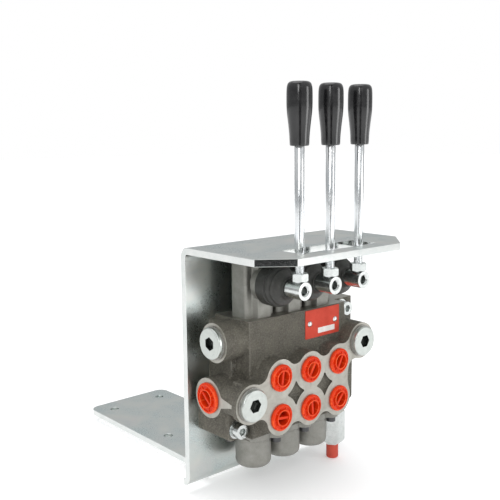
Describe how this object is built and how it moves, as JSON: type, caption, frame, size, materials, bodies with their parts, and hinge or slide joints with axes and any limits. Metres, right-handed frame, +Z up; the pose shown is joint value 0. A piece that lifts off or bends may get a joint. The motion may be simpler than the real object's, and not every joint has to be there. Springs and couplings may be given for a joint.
{
  "type": "hydraulic monoblock directional control valve",
  "caption": "Monoblock hydraulic directional control valve with hand levers, spring-centred spools, capped ports and a relief valve, on a bent steel bracket.",
  "frame": {"origin": "centre of the four fixing holes in the bottom flange, on its underside", "axes": "+Z up along the levers, -Y towards the operator and the work ports, +X to the operator's right"},
  "size_m": [0.18, 0.3315, 0.3556],
  "materials": {
    "zinc_sheet": "zinc-plated bent sheet with a faint blue and yellow passivation tint",
    "cast_iron": "rough sand casting, phosphated brown-grey, with machined bright faces",
    "ground_steel": "ground and polished",
    "die_cast": "bead-blasted grey casting",
    "boot_rubber": "moulded black rubber, matt",
    "hub_steel": "turned and zinc plated",
    "plated_rod": "bright plated bar",
    "zinc_fastener": "bright zinc plating",
    "knob_plastic": "glossy black phenolic",
    "turned_steel": "turned",
    "spring_steel": "drawn spring wire",
    "black_steel": "black oxide",
    "seal_rubber": "nitrile rubber",
    "cap_plastic": "orange polyethylene, slightly waxy",
    "washer_steel": "bonded seal washer",
    "relief_cap_plastic": "red polyethylene",
    "plate_red": "red printed aluminium plate with a blank white box",
    "rivet_aluminium": "bright domed rivet"
  },
  "bodies": {
    "root": {"bracket": "zinc_sheet", "valve_body": "cast_iron", "spool_seals": "seal_rubber", "lever_housing_1": "die_cast", "lever_housing_2": "die_cast", "lever_housing_3": "die_cast", "boot_1": "boot_rubber", "boot_2": "boot_rubber", "boot_3": "boot_rubber", "pivot_pins": "ground_steel", "housing_screws": "black_steel", "spring_cap_1": "die_cast", "spring_cap_2": "die_cast", "spring_cap_3": "die_cast", "cap_screws": "black_steel", "upper_port_caps": "cap_plastic", "lower_port_caps": "cap_plastic", "inlet_port_cap": "cap_plastic", "outlet_port_cap": "cap_plastic", "blanking_plugs": "zinc_fastener", "plug_washers": "washer_steel", "check_spring": "spring_steel", "relief_body": "zinc_fastener", "relief_spring": "spring_steel", "relief_adjuster": "turned_steel", "relief_lock_nut": "zinc_fastener", "relief_cap": "relief_cap_plastic", "nameplate": "plate_red", "nameplate_rivets": "rivet_aluminium", "mounting_bolts": "zinc_fastener", "mounting_washers": "zinc_fastener", "mounting_nuts": "zinc_fastener"},
    "lever_1": {"lever_hub_1": "hub_steel", "lever_rod_1": "plated_rod", "lock_nut_1": "zinc_fastener", "knob_1": "knob_plastic"},
    "spool_set_1": {"spool_1": "ground_steel", "spring_seats_1": "turned_steel", "centring_spring_1": "spring_steel", "end_screw_1": "black_steel"},
    "lever_2": {"lever_hub_2": "hub_steel", "lever_rod_2": "plated_rod", "lock_nut_2": "zinc_fastener", "knob_2": "knob_plastic"},
    "spool_set_2": {"spool_2": "ground_steel", "spring_seats_2": "turned_steel", "centring_spring_2": "spring_steel", "end_screw_2": "black_steel"},
    "lever_3": {"lever_hub_3": "hub_steel", "lever_rod_3": "plated_rod", "lock_nut_3": "zinc_fastener", "knob_3": "knob_plastic"},
    "spool_set_3": {"spool_3": "ground_steel", "spring_seats_3": "turned_steel", "centring_spring_3": "spring_steel", "end_screw_3": "black_steel"},
    "relief_poppet_body": {"relief_poppet": "turned_steel"},
    "check_poppet_body": {"check_poppet": "turned_steel"}
  },
  "joints": [
    {"name": "lever_1_tilt", "type": "hinge", "parent": "root", "child": "lever_1", "pos_m": [-0.0225, -0.1975, 0.1818], "axis": [1, 0, 0], "range_deg": [-12.5, 12.5], "stiffness_Nm_per_rad": 18, "deforming": ["boot_1"]},
    {"name": "spool_1_slide", "type": "slide", "parent": "root", "child": "spool_set_1", "axis": [0, 0, 1], "range_m": [-0.0054, 0.0054]},
    {"name": "lever_2_tilt", "type": "hinge", "parent": "root", "child": "lever_2", "pos_m": [0.0135, -0.1975, 0.1818], "axis": [1, 0, 0], "range_deg": [-12.5, 12.5], "stiffness_Nm_per_rad": 18, "deforming": ["boot_2"]},
    {"name": "spool_2_slide", "type": "slide", "parent": "root", "child": "spool_set_2", "axis": [0, 0, 1], "range_m": [-0.0054, 0.0054]},
    {"name": "lever_3_tilt", "type": "hinge", "parent": "root", "child": "lever_3", "pos_m": [0.0495, -0.1975, 0.1818], "axis": [1, 0, 0], "range_deg": [-12.5, 12.5], "stiffness_Nm_per_rad": 18, "deforming": ["boot_3"]},
    {"name": "spool_3_slide", "type": "slide", "parent": "root", "child": "spool_set_3", "axis": [0, 0, 1], "range_m": [-0.0054, 0.0054]},
    {"name": "relief_lift", "type": "slide", "parent": "root", "child": "relief_poppet_body", "axis": [0, 0, -1], "range_m": [0, 0.002], "stiffness_N_per_m": 3000, "springref_m": -0.004, "deforming": ["relief_spring"]},
    {"name": "check_lift", "type": "slide", "parent": "root", "child": "check_poppet_body", "axis": [0, -1, 0], "range_m": [0, 0.003], "stiffness_N_per_m": 1500, "springref_m": -0.002, "deforming": ["check_spring"]}
  ],
  "couplings": [
    {"joint": "spool_1_slide", "follows": "lever_1_tilt", "m_per_rad": 0.024},
    {"joint": "spool_2_slide", "follows": "lever_2_tilt", "m_per_rad": 0.024},
    {"joint": "spool_3_slide", "follows": "lever_3_tilt", "m_per_rad": 0.024}
  ]
}
